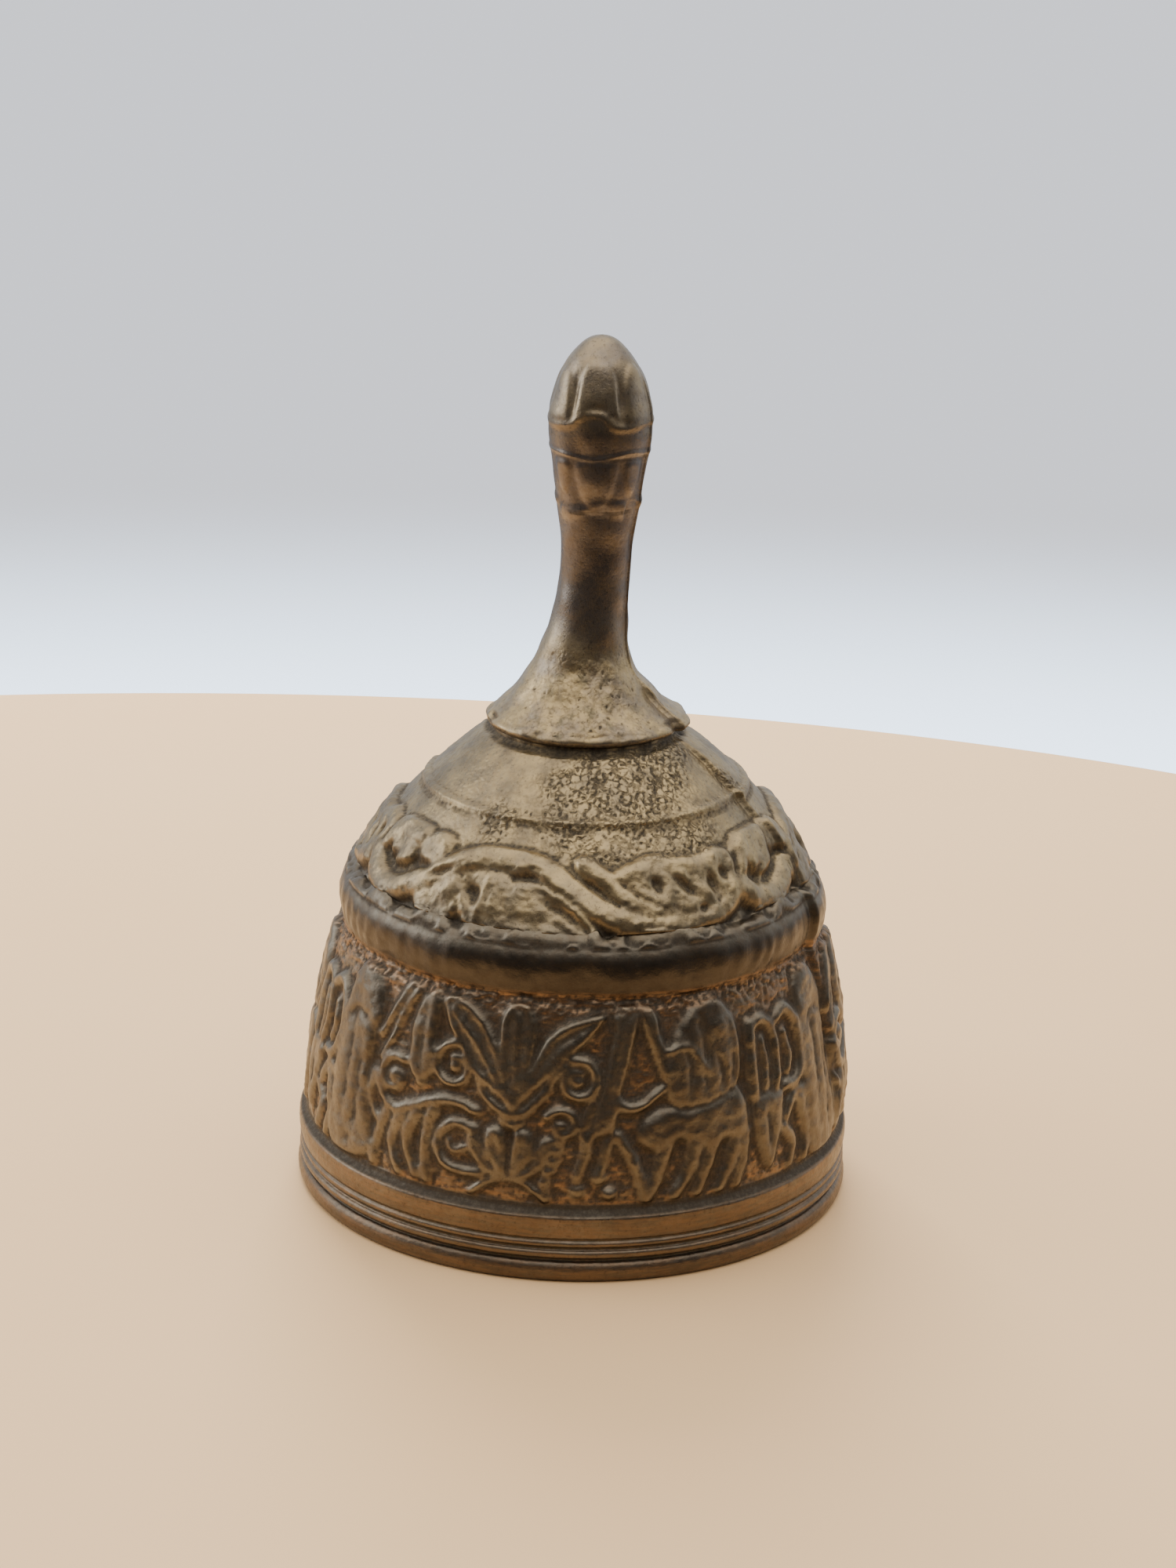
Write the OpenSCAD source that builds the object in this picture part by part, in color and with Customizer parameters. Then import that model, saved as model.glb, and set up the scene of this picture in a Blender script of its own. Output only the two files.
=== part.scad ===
// Cast brass hand bell: a thick waisted shell with turned rim mouldings, a baluster handle
// screwed down on its crown, and a ball clapper hung inside on a wire link.
// Z is up, the mouth stands on z = 0, and the bell's axis is x = y = 0. Sizes are millimetres.

/* [Shell] */
// Diameter across the roll at the mouth
mouth_d = 66.8; // [60:0.2:74]
// Height of the flat seat that carries the handle
seat_z = 57; // [55:0.5:60]
// Thickness of the cast wall
wall = 3; // [2.6:0.1:3.4]
// Thickness of the crown under the handle
crown_t = 4; // [3.5:0.1:4.5]

/* [Handle] */
// Height of the handle from its seat to its tip
handle_h = 46; // [42:0.5:50]
// Diameter of the collar's lip
collar_d = 23; // [21.5:0.1:23.2]
// Diameter of the grip at its waist
grip_d = 8; // [7.6:0.1:9]
// Diameter of the knob
knob_d = 11.8; // [10.6:0.1:13]

/* [Eye bolt, washer and nut] */
// Diameter of the bolt's shank
bolt_d = 3.8; // [3.6:0.1:4]
// Mean radius of the bolt's eye
eye_r = 2.4; // [2.3:0.05:2.6]
// Diameter of the wire of the eye
eye_wire_d = 2.2; // [2:0.05:2.3]
// Diameter of the washer
washer_d = 9; // [8.4:0.1:10]
// Thickness of the washer
washer_t = 0.8; // [0.6:0.1:1]
// Width of the nut across its flats
nut_af = 7; // [6.6:0.1:7.4]
// Thickness of the nut
nut_t = 2.4; // [2:0.1:2.6]

/* [Link and clapper] */
// Diameter of the link's wire
link_wire_d = 1.4; // [1.2:0.05:1.5]
// Straight stretch of the link between its round ends
link_straight = 2.6; // [2.5:0.1:3.6]
// Diameter of the clapper's rod
rod_d = 2.5; // [2.2:0.1:2.8]
// Diameter of the wire of the clapper's eye
clapper_wire_d = 1.8; // [1.6:0.05:1.9]
// Diameter of the clapper's ball
ball_d = 12.4; // [11:0.1:13]
// Height of the ball's centre when it hangs at rest
ball_z = 8.6; // [8.2:0.1:10]

/* [Hidden] */
$fn = 96;

brass = [0.55, 0.46, 0.31];
worn_brass = [0.62, 0.53, 0.36];
iron = [0.30, 0.28, 0.26];

fit_gap = 0.05;      // radial gap of a shank in its hole
hinge_gap = 0.1;     // gap between a wire and the eye that hangs on it
bolt_r = bolt_d / 2;
bolt_hole_r = bolt_r + 0.25;
bolt_in_handle = 12.5;  // how far the shank screws into the handle
crown_z = seat_z - crown_t;
nut_top_z = crown_z - washer_t;
nut_low_z = nut_top_z - nut_t;

// Heights of the suspension, from the crown down
eye_wire_r = eye_wire_d / 2;
eye_z = nut_low_z - 0.3 - eye_r - eye_wire_r;
link_pivot_z = eye_z - eye_r;           // centre of the eye's lowest wire: the link turns about it
link_wire_r = link_wire_d / 2;
link_end_r = eye_wire_r + hinge_gap + link_wire_r;
clapper_pivot_z = link_pivot_z - link_straight - link_end_r;  // centre of the link's lowest wire
clapper_wire_r = clapper_wire_d / 2;
clapper_eye_r = link_wire_r + hinge_gap + clapper_wire_r + 0.35;
clapper_eye_z = clapper_pivot_z + link_wire_r + hinge_gap + clapper_wire_r - clapper_eye_r;

// The shell's outline is drawn at a mouth radius of 33.4 and a seat height of 57, then scaled
kr = mouth_d / 2 / 33.4;
kz = seat_z / 57;
function fitted(pts) = [for (p = pts) [p[0] * kr, p[1] * kz]];

// A smooth curve through the points of p, with n steps between each two
function blend4(a, b, c, d, t) = 0.5 * (2 * b + (c - a) * t + (2 * a - 5 * b + 4 * c - d) * t * t
    + (3 * b - a - 3 * c + d) * t * t * t);
function curve(p, n) = [for (i = [0 : len(p) - 2]) for (k = [0 : n - 1])
    blend4(p[max(i - 1, 0)], p[i], p[i + 1], p[min(i + 2, len(p) - 1)], k / n), p[len(p) - 1]];
// Half an ellipse that bulges outwards from radius r, centred at height z
function roll(r, z, bulge, half_h, n) = [for (k = [0 : n]) let (a = -90 + 180 * k / n)
    [r + bulge * cos(a), z + half_h * sin(a)]];
// Points moved inwards by d, square to the line through their neighbours
function inset(p, d) = [for (i = [0 : len(p) - 1])
    let (t = p[min(i + 1, len(p) - 1)] - p[max(i - 1, 0)]) p[i] + d * [-t[1], t[0]] / norm(t)];

// The ground that the relief stands on, from the mouth to the seat
ground = [[33, 0], [32.6, 6], [32.1, 11], [31.15, 18.5], [30.05, 25], [28.9, 30], [28, 32.4],
    [26.1, 39.3], [24.2, 43], [21.2, 47.3], [17.7, 51], [14.3, 54], [11.2, 56.5]];

rim = concat(
    roll(32.5, 1, 0.9, 1, 8),                 // roll at the mouth
    [[32.45, 2.3], [32.4, 2.7], [32.5, 3.15]],
    roll(32.6, 3.6, 0.6, 0.4, 6),             // bead
    [[32.4, 4.1], [32.4, 4.45], [33, 4.6], [33, 5.5], [32.9, 5.6], [33.1, 5.75]],
    curve([[33.1, 5.75], [33.3, 6.9], [33.3, 8]], 4),  // plain band
    [[33.1, 8.2], [32.4, 9]]);
frieze_ground = curve([for (i = [2 : 6]) ground[i]], 5);
waist_band = curve([[28.15, 33.2], [28.45, 34.3], [28.6, 35.7], [28.45, 37], [28, 38.1],
    [27.3, 38.9]], 4);
shoulder = curve([for (i = [7 : 9]) ground[i]], 5);
ridge = roll(18.45, 50.25, 0.42, 0.3, 6);     // thin ring round the shoulder
dome = curve([for (i = [10 : 12]) ground[i]], 5);

outer = fitted(concat(rim, frieze_ground, waist_band, shoulder, ridge, dome));
inner_free = curve(inset(fitted(ground), wall), 4);
inner = [for (p = inner_free) if (p[1] > 1.2 && p[1] < crown_z - 0.05) p];
lip_r = 31.6 * kr;                             // middle of the flat that the bell stands on

module bell_shell()
    color(brass) rotate_extrude() polygon(concat(
        [[lip_r - 0.8, 0], [lip_r + 0.8, 0]],
        outer,
        [[10.7 * kr, seat_z], [bolt_hole_r, seat_z], [bolt_hole_r, crown_z]],
        [[inner[len(inner) - 1][0] - 0.8, crown_z]],
        [for (i = [len(inner) - 1 : -1 : 0]) inner[i]],
        [[lip_r - 1.3, 0.5]]));

// The handle's heights are shares of handle_h above the seat
function hz(share) = seat_z + handle_h * share;
collar_r = collar_d / 2;
grip_r = grip_d / 2;
knob_r = knob_d / 2;
lip_round = 0.55;
collar_lip = [for (a = [-90 : 18 : 54])
    [collar_r - lip_round, seat_z + lip_round] + lip_round * [cos(a), sin(a)]];
collar_flare = curve([[collar_r - 0.3, hz(0.024)], [collar_r - 1.3, hz(0.04)],
    [collar_r - 3.1, hz(0.074)], [grip_r + 2.9, hz(0.118)], [grip_r + 1.55, hz(0.17)],
    [grip_r + 0.7, hz(0.235)], [grip_r + 0.22, hz(0.31)], [grip_r, hz(0.39)]], 5);
knob_rise = curve([[grip_r, hz(0.39)], [grip_r + 0.12, hz(0.46)], [grip_r + 0.5, hz(0.54)],
    [knob_r - 0.85, hz(0.62)], [knob_r - 0.22, hz(0.71)]], 5);
knob_groove = [[knob_r - 0.42, hz(0.716)], [knob_r - 0.12, hz(0.724)]];
knob_tip = curve([[knob_r - 0.08, hz(0.735)], [knob_r, hz(0.77)], [knob_r - 0.3, hz(0.826)],
    [knob_r - 1, hz(0.886)], [knob_r * 0.68, hz(0.935)], [knob_r * 0.42, hz(0.975)],
    [knob_r * 0.2, hz(0.994)]], 4);

module handle()
    color(brass) rotate_extrude() polygon(concat(
        [[bolt_r + fit_gap, seat_z]], collar_lip, collar_flare,
        [for (i = [1 : len(knob_rise) - 1]) knob_rise[i]], knob_groove, knob_tip,
        [[0, hz(1)], [0, seat_z + bolt_in_handle + 2.5], [bolt_r + fit_gap, seat_z + bolt_in_handle + 1]]));

// A ring of round wire in the plane that axis "x" or "y" is square to
module wire_ring(mean_r, wire_r, axis)
    rotate(axis == "y" ? [90, 0, 0] : [0, 90, 0])
        rotate_extrude() translate([mean_r, 0]) circle(r = wire_r);

module eye_bolt()
    color(iron) {
        translate([0, 0, eye_z + eye_r]) cylinder(r = bolt_r, h = seat_z + bolt_in_handle - eye_z - eye_r);
        translate([0, 0, eye_z]) wire_ring(eye_r, eye_wire_r, "y");
    }

module crown_washer()
    color(worn_brass) translate([0, 0, nut_top_z]) difference() {
        cylinder(r = washer_d / 2, h = washer_t);
        translate([0, 0, -1]) cylinder(r = bolt_hole_r, h = washer_t + 2);
    }

module lock_nut()
    color(worn_brass) translate([0, 0, nut_low_z]) difference() {
        cylinder(r = nut_af / sqrt(3), h = nut_t, $fn = 6);
        translate([0, 0, -1]) cylinder(r = bolt_r + fit_gap, h = nut_t + 2);
    }

// One round end of the link, which lies in the plane x = 0
module link_end(turn)
    rotate([turn, 0, 0]) rotate([90, 0, 90])
        rotate_extrude(angle = 180) translate([link_end_r, 0]) circle(r = link_wire_r);

module hanger_link()
    color(iron) {
        translate([0, 0, link_pivot_z]) link_end(0);
        translate([0, 0, link_pivot_z - link_straight]) link_end(180);
        for (side = [-1, 1])
            translate([0, side * link_end_r, link_pivot_z - link_straight])
                cylinder(r = link_wire_r, h = link_straight);
    }

peen_r = rod_d / 2 + 0.9;        // radius of the rod's peened end, under the ball
peen_h = 0.9;
ball_flat = 0.8;                 // height of the flats at the ball's top and bottom
ball_half_h = ball_d / 2 - ball_flat;
rod_low_z = ball_z - ball_half_h;

module clapper_rod()
    color(iron) {
        translate([0, 0, clapper_eye_z]) wire_ring(clapper_eye_r, clapper_wire_r, "y");
        translate([0, 0, rod_low_z - 0.3])
            cylinder(r = rod_d / 2, h = clapper_eye_z - clapper_eye_r - rod_low_z + 0.3);
        translate([0, 0, rod_low_z - peen_h]) cylinder(r1 = peen_r * 0.6, r2 = peen_r, h = peen_h);
    }

module clapper_ball()
    color(worn_brass) translate([0, 0, ball_z]) difference() {
        intersection() {
            sphere(d = ball_d);
            translate([0, 0, -ball_half_h]) cylinder(d = ball_d + 2, h = 2 * ball_half_h);
        }
        translate([0, 0, -ball_d]) cylinder(r = rod_d / 2 + fit_gap, h = 2 * ball_d);
    }

bell_shell();
handle();
eye_bolt();
crown_washer();
lock_nut();
hanger_link();
clapper_rod();
clapper_ball();
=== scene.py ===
"""The look of a cast brass hand bell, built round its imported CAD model.

The shell and the handle are meshes of their own: a profile turned about the bell's axis, raised and
hollowed by relief that is drawn on it with ridges, plaques and grooves. The suspension and the clapper
keep the CAD model's own meshes. The bell's lengths are millimetres, and its angles are degrees from the
front, growing to the right. The camera, the lights and the finished objects are in metres.
"""
import math

import bpy
import numpy as np
from mathutils import Matrix, Vector


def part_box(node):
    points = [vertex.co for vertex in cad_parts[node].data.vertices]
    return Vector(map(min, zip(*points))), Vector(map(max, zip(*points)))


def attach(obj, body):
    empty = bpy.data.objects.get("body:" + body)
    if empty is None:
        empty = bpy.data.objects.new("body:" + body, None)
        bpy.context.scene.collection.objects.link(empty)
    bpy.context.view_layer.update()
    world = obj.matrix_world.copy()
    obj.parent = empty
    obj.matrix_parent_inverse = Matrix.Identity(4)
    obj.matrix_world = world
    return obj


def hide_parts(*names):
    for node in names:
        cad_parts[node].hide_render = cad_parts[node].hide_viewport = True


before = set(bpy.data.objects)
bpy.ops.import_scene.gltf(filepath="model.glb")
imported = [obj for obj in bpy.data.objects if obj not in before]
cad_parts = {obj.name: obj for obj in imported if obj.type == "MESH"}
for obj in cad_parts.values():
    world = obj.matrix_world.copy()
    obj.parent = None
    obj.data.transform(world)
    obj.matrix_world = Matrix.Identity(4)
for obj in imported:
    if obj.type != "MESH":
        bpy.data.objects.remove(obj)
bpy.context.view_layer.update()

MM = 0.001


def extent(node):
    """Lowest and highest corner of a CAD node, in millimetres."""
    low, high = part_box(node)
    return np.array(low) / MM, np.array(high) / MM


SHELL_LOW, SHELL_HIGH = extent("bell_shell")
HANDLE_LOW, HANDLE_HIGH = extent("handle")
MOUTH_R = (SHELL_HIGH[0] - SHELL_LOW[0]) / 2
SEAT_Z = SHELL_HIGH[2]
TIP_Z = HANDLE_HIGH[2]
DRAWN_R = 33.4           # the shell is drawn with this mouth radius and this seat height,
DRAWN_SEAT_Z = 57        # and the drawing is then fitted to the CAD node
WALL = 3.0               # thickness of the shell's wall
CROWN_T = 4.0            # thickness of the crown that the bolt goes through
COLUMNS = 840            # vertices round the shell
HANDLE_COLUMNS = 300     # vertices round the handle
SEAM = 73.0              # angle of the mould's parting line; the other one is opposite
REPEAT = 120             # the frieze and the vine come three times round the bell
FRONT_MIDDLE = 18        # angles: the middle and the half width of the shoulder's pitted, gilt front, whose extra gold is partly a painted highlight
FRONT_WIDTH = 42
RIM_TOP = 8.2            # heights: where the rim's smooth band ends,
FRIEZE_FOOT = 9.6        # where the frieze begins,
RING_Z = 50.25           # and the thin ring on the shoulder
BELT_Z = 89.8            # heights of the two worn lines round the handle
LOWER_BELT_Z = 83.7
LOOKS = ("hollow", "worn", "warm", "green", "gold", "pitted", "dark")     # what the patina and its painted light and shade read


# ---------------- curves and noise

def curve(points, steps, closed=False):
    """A smooth line through the points, with that many steps between each two."""
    p = np.array(points, float)
    count = len(p) if closed else len(p) - 1
    index = np.arange(count)
    if closed:
        a, b, c, d = (p[(index + k) % len(p)] for k in (-1, 0, 1, 2))
    else:
        a, b, c, d = (p[np.clip(index + k, 0, len(p) - 1)] for k in (-1, 0, 1, 2))
    t = (np.arange(steps) / steps)[None, :, None]
    a, b, c, d = (q[:, None, :] for q in (a, b, c, d))
    line = 0.5 * (2 * b + (c - a) * t + (2 * a - 5 * b + 4 * c - d) * t**2 + (3 * b - a - 3 * c + d) * t**3)
    line = line.reshape(-1, p.shape[1])
    return line if closed else np.vstack([line, p[-1:]])


def roll(r, z, bulge, half_h, steps=10):
    """Half an ellipse that bulges outwards from radius r."""
    a = np.radians(np.linspace(-90, 90, steps))
    return np.column_stack([r + bulge * np.cos(a), z + half_h * np.sin(a)])


def inset(line, depth):
    """The line moved inwards by depth, square to itself."""
    along = np.gradient(line, axis=0)
    along /= np.linalg.norm(along, axis=1)[:, None]
    return line + depth * np.column_stack([-along[:, 1], along[:, 0]])


def smooth(low, high, x):
    """0 below low and 1 above high, easing between them."""
    t = np.clip((x - low) / (high - low), 0, 1)
    return t * t * (3 - 2 * t)


def window(x, low, high, edge):
    """1 between low and high, fading to 0 over edge on each side."""
    return smooth(low - edge, low, x) * (1 - smooth(high, high + edge, x))


def hump(x, middle, width):
    """1 at the middle, falling off smoothly to about a third at width."""
    return np.exp(-(((x - middle) / width) ** 2))


def ripples(points, size, seed, spread=0.3, waves=70):
    """Noise of unit variance whose lumps measure about size, the same at the same place in space."""
    rng = np.random.default_rng(seed)
    total = np.zeros(points.shape[:-1], np.float32)
    for _ in range(waves):
        direction = rng.normal(size=3)
        direction *= 2 * math.pi / size * (1 + spread * rng.normal()) / np.linalg.norm(direction)
        total += np.cos(points @ direction.astype(np.float32) + np.float32(rng.uniform(0, 2 * math.pi)))
    return total / math.sqrt(waves / 2)


def soften(field, times):
    """Blurs a field of rows by columns. The columns run round the bell, so they join at the ends."""
    for _ in range(times):
        field = (np.roll(field, 1, 1) + 2 * field + np.roll(field, -1, 1)) / 4
        padded = np.vstack([field[:1], field, field[-1:]])
        field = (padded[:-2] + 2 * padded[1:-1] + padded[2:]) / 4
    return field


def spread_rows(line, spacing):
    """Points along a profile, set apart by what spacing says for each height."""
    step = np.linalg.norm(np.diff(line, axis=0), axis=1)
    length = np.concatenate([[0], np.cumsum(step)])
    fine = np.linspace(0, length[-1], 6000)
    r = np.interp(fine, length, line[:, 0])
    z = np.interp(fine, length, line[:, 1])
    share = np.concatenate([[0], np.cumsum(np.diff(fine) / spacing(z[1:]))])
    at = np.linspace(0, share[-1], int(round(share[-1])) + 1)
    return np.column_stack([np.interp(at, share, r), np.interp(at, share, z)])


# ---------------- relief

class Chart:
    """A band of the bell laid flat, on which the relief is drawn. Places are (angle in degrees, height).

    scale turns degrees and heights into millimetres along the surface; turn is added to every angle;
    swell fattens every ridge and plaque, as wear and a tired mould do. cut is 1 in the middle of a groove.
    """

    def __init__(self, angles, heights, scale, swell=0.0):
        self.scale = np.array(scale)
        self.swell = swell
        self.x = np.asarray(angles) * scale[0]
        self.y = np.asarray(heights) * scale[1]
        self.height = np.zeros((len(self.y), len(self.x)))
        self.cut = np.zeros_like(self.height)
        self.turn = 0

    def place(self, points):
        """Points in millimetres on the chart."""
        return (np.array(points, float) + [self.turn, 0]) * self.scale

    def patch(self, line, margin):
        """The slice of rows and columns near a line, and the places in it, or None off the chart."""
        low, high = line.min(0) - margin, line.max(0) + margin
        columns = np.flatnonzero((self.x >= low[0]) & (self.x <= high[0]))
        rows = np.flatnonzero((self.y >= low[1]) & (self.y <= high[1]))
        if not len(columns) or not len(rows):
            return None
        here = (slice(rows[0], rows[-1] + 1), slice(columns[0], columns[-1] + 1))
        x, y = np.meshgrid(self.x[here[1]], self.y[here[0]])
        return here, x, y

    @staticmethod
    def reach(line, x, y):
        """Distance to a line, and the share of the line's length where it is nearest."""
        nearest = np.full(x.shape, 1e9)
        share = np.zeros(x.shape)
        for i in range(len(line) - 1):
            a, b = line[i], line[i + 1] - line[i]
            t = np.clip(((x - a[0]) * b[0] + (y - a[1]) * b[1]) / max(b @ b, 1e-12), 0, 1)
            d = np.hypot(x - a[0] - t * b[0], y - a[1] - t * b[1])
            closer = d < nearest
            nearest[closer] = d[closer]
            share[closer] = (i + t[closer]) / (len(line) - 1)
        return nearest, share

    def ridge(self, points, width, height, end_width=None, end_height=None):
        """A raised strand along a smooth path, round across, that may taper towards its end."""
        line = curve(self.place(points), 5)
        found = self.patch(line, width + self.swell)
        if found is None:
            return
        here, x, y = found
        d, share = self.reach(line, x, y)
        end_width = width if end_width is None else end_width
        end_height = height if end_height is None else end_height
        half = (width + (end_width - width) * share) / 2 + self.swell
        top = height + (end_height - height) * share
        rise = top * np.sqrt(np.clip(1 - (d / half) ** 2, 0, 1))
        self.height[here] = np.maximum(self.height[here], rise)

    def plaque(self, outline, height, bevel, dish=0.0):
        """A raised island inside a smooth closed outline. dish hollows its middle, which leaves a rim."""
        line = curve(self.place(outline), 4, closed=True)
        ring = np.vstack([line, line[:1]])
        found = self.patch(ring, 0.3 + self.swell)
        if found is None:
            return
        here, x, y = found
        d, _ = self.reach(ring, x, y)
        inside = np.zeros(x.shape, bool)
        for a, b in zip(ring[:-1], ring[1:]):
            crosses = (a[1] > y) != (b[1] > y)
            rise = b[1] - a[1] if b[1] != a[1] else 1e-9
            inside ^= crosses & (x < (b[0] - a[0]) * (y - a[1]) / rise + a[0])
        depth = np.maximum(np.where(inside, d, -d) + self.swell, 0)
        t = np.clip(depth / bevel, 0, 1)
        island = height * np.sqrt(1 - (1 - t) ** 2)
        island -= dish * smooth(bevel * 0.7, bevel * 1.8, depth)
        self.height[here] = np.maximum(self.height[here], np.where(depth > 0, island, 0))

    def groove(self, points, width, depth):
        """A cut along a smooth path, deepest halfway along."""
        line = curve(self.place(points), 5)
        found = self.patch(line, width * 1.5)
        if found is None:
            return
        here, x, y = found
        d, share = self.reach(line, x, y)
        slot = hump(d, 0, width / 2) * np.sin(np.pi * np.clip(share, 0.08, 0.92))
        self.height[here] -= depth * slot
        self.cut[here] = np.maximum(self.cut[here], slot)

    def boss(self, centre, radius, height):
        """A round button."""
        middle = self.place([centre])
        found = self.patch(middle, radius + 0.1)
        if found is None:
            return
        here, x, y = found
        d = np.hypot(x - middle[0, 0], y - middle[0, 1])
        rise = height * np.sqrt(np.clip(1 - (d / radius) ** 2, 0, 1))
        self.height[here] = np.maximum(self.height[here], rise)

    def volute(self, centre, radius, start, sweep, width, height):
        """A scroll that winds in from radius at the start angle and ends in a button."""
        t = np.linspace(0, 1, 16)
        a = np.radians(start + sweep * t)
        r = radius * (1 - 0.62 * t)
        points = np.array(centre) + np.column_stack([r * np.cos(a), r * np.sin(a)]) / self.scale
        self.ridge(points, width, height, width * 0.7, height * 0.8)
        self.boss(centre, radius * 0.34, height)


# Motifs of the frieze, from the left edge of one repeat to its right edge

def draped_form(c):
    """A tall rounded form with folds."""
    c.plaque([(-61, 10), (-61.5, 26), (-59, 31), (-55, 32.3), (-50, 30.5), (-47.6, 27), (-49, 23),
              (-48.5, 18), (-46.5, 14), (-47.5, 10.2)], 1.0, 1.9)
    c.groove([(-57, 28), (-55.5, 22), (-56.5, 13)], 1.1, 0.35)
    c.groove([(-52.5, 25), (-51.5, 18), (-52.5, 11)], 0.9, 0.3)
    c.groove([(-60, 24), (-55, 26.5), (-49, 25)], 0.8, 0.3)


def blades(c):
    """Two thin blades and the upright leaf beside them."""
    c.ridge([(-39.8, 32), (-43.5, 28.5), (-47, 24.8)], 1.3, 0.75, 0.5)
    c.ridge([(-37.8, 31.4), (-41.5, 28), (-44, 24.2), (-46, 22.4)], 1.0, 0.6, 0.5)
    c.plaque([(-37.3, 22.5), (-37.9, 27), (-36.6, 30), (-33.6, 31.8), (-31.2, 31.2), (-31.6, 27.5),
              (-30.7, 24), (-31.6, 22.2), (-34.5, 21.4)], 0.85, 0.8)
    c.groove([(-34.2, 30.5), (-34.6, 26), (-34, 22.5)], 0.55, 0.35)
    c.boss((-34, 21.3), 0.95, 0.8)


def lower_scroll(c):
    """The comma scroll on its long stem."""
    c.volute((-41, 21), 2.35, 60, 330, 1.15, 0.85)
    c.boss((-40.8, 21), 1.15, 0.8)
    c.ridge([(-45.6, 20.5), (-43.6, 18.2), (-40, 17.2), (-35, 18.3), (-30, 19.5), (-25, 19.9),
             (-20.4, 19.2)], 1.35, 0.85, 1.1)


def palmette(c):
    """Three dished leaves over a collar, with a vein up each."""
    c.plaque([(-14, 20.5), (-15.6, 25), (-16.4, 28.8), (-15.2, 31.2), (-12.4, 32.1), (-9.6, 31.3),
              (-8.5, 28.8), (-9.4, 25), (-11, 20.5)], 1.0, 0.7, 0.25)
    c.plaque([(-13.8, 20.6), (-18.4, 22.4), (-22.4, 24), (-25.8, 26.5), (-28.6, 28.6), (-30.3, 31.2),
              (-26, 31.4), (-21.5, 30.2), (-17.6, 27.8), (-14.8, 24.2), (-12.8, 21)], 0.95, 0.65, 0.3)
    c.plaque([(-11.3, 20.6), (-8, 22.5), (-4.5, 24.5), (-0.8, 26.5), (2.7, 28.1), (6.8, 30.8), (2.4, 30.6),
              (-2.2, 29.7), (-6, 28), (-8.8, 25), (-12, 21)], 0.95, 0.65, 0.3)
    c.ridge([(-12.4, 30.6), (-12.4, 26), (-12.5, 20.5)], 0.55, 1.0, 0.7)
    c.ridge([(-27.6, 30), (-21, 26.6), (-13.4, 20.8)], 0.5, 0.95, 0.6)
    c.ridge([(4, 29.6), (-3, 26.8), (-11.6, 20.8)], 0.5, 0.95, 0.6)
    c.ridge([(-15, 19.9), (-12.5, 19.4), (-10, 19.9)], 1.0, 0.85)
    c.ridge([(-14.4, 18.6), (-12.5, 18.2), (-10.6, 18.6)], 0.8, 0.75)


def upper_volutes(c):
    """The scrolls that spring from each side of the palmette's collar."""
    c.volute((-26, 23.8), 2.75, 75, 400, 1.05, 0.95)
    c.ridge([(-24.2, 26.2), (-21.4, 24.2), (-18.6, 21.2), (-14.5, 19.6)], 0.9, 0.75, 1.2)
    c.volute((1, 23.6), 2.5, 105, -400, 1.15, 0.95)
    c.ridge([(-0.8, 25.4), (-4, 24.2), (-6.6, 21.8), (-10, 19.8)], 0.9, 0.75, 1.2)
    c.ridge([(4.6, 24.5), (4.6, 21.5), (3.4, 19.5), (2.5, 17.6)], 0.9, 0.6, 1.3)


def blossom(c):
    """The open flower under the palmette, with its tendrils."""
    middle = -12.9
    for side in (-1, 1):
        c.plaque([(middle + side * p, q) for p, q in
                  ((0.3, 12.3), (3.2, 13.6), (5, 15.6), (4.4, 17.4), (2.6, 17.9), (0.9, 16.8))], 0.95, 0.8)
        c.plaque([(middle + side * p, q) for p, q in ((1, 11.8), (5, 12.6), (8, 14.4), (9, 16.6),
                                                      (7.4, 17.1), (5.6, 15.6), (3.4, 14))], 0.8, 0.7)
        c.groove([(middle + side * 3.6, 17.2), (middle + side * 2.6, 15), (middle + side * 0.8, 13)],
                 0.5, 0.4)
        c.groove([(middle + side * 7.6, 16.2), (middle + side * 5, 14), (middle + side * 2, 12.6)],
                 0.45, 0.35)
        c.ridge([(middle + side * 0.8, 12), (middle + side * 4, 11.4), (middle + side * 7.6, 9.9)], 0.8,
                0.7, 0.5)
    c.groove([(middle, 17.4), (middle, 15), (middle, 12.6)], 0.6, 0.5)
    c.ridge([(-20.6, 17.2), (-25.5, 17.4), (-28.8, 15.2), (-27.4, 12.9), (-23.6, 12), (-18.6, 12.2)],
            1.05, 0.75)
    c.ridge([(-22, 14.8), (-25, 14.2), (-26, 15.2)], 0.7, 0.6)


def hanging_strands(c):
    """Strands that fall to the lower edge, left of the flower."""
    for path in ([(-30.2, 18.3), (-31.6, 14.5), (-31, 10.2)], [(-34, 17.6), (-36.6, 14), (-33.6, 10.4)],
                 [(-38, 16.8), (-40.6, 13.4), (-38.2, 10.2)], [(-42.4, 16.4), (-44.8, 12.8), (-45.4, 10.2)]):
        c.ridge(path, 1.6, 0.85, 1.2, 0.65)
    c.ridge([(-47, 20.5), (-47.6, 17), (-44, 14.6)], 1.0, 0.6)


def right_scroll(c):
    """The small scroll on its ribbed stalk."""
    c.volute((-2, 18.6), 1.85, 150, -330, 0.9, 0.85)
    c.ridge([(-2.6, 17.2), (-3.4, 14.6), (-5.4, 11.8), (-5, 9.9)], 1.2, 0.7, 0.8)
    for step in range(4):
        c.groove([(-4.4 - step * 0.3, 16.2 - step * 1.2), (-1.6 - step * 0.3, 16 - step * 1.2)], 0.35, 0.35)


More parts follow.
